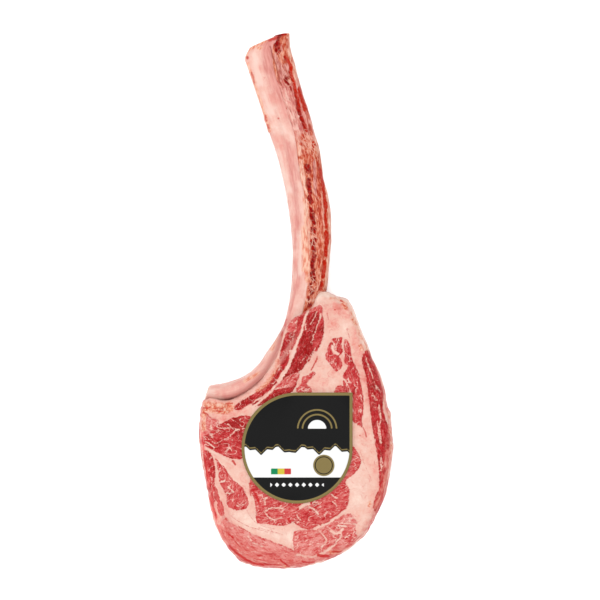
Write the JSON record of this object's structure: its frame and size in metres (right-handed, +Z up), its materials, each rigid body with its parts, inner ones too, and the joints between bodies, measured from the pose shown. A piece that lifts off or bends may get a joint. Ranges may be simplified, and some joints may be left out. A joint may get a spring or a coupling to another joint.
{
  "type": "raw tomahawk steak",
  "caption": "Thick raw rib steak on its long curved rib, with marbled muscles parted by fat, a strip of meat left along the bone and a round stuck-on label.",
  "frame": {"origin": "under the middle of the whole, on the board that the steak lies on", "axes": "+Y along the rib towards its free tip, +Z up out of the cut face that carries the label, +X towards the fatty outer edge of the steak"},
  "size_m": [0.1459, 0.402, 0.0443],
  "materials": {
    "bone": "satin",
    "trim": "satin",
    "meat": "satin",
    "label": "satin"
  },
  "bodies": {
    "root": {"rib_bone": "bone", "rib_trim": "trim", "steak_meat": "meat", "label": "label"}
  },
  "joints": []
}
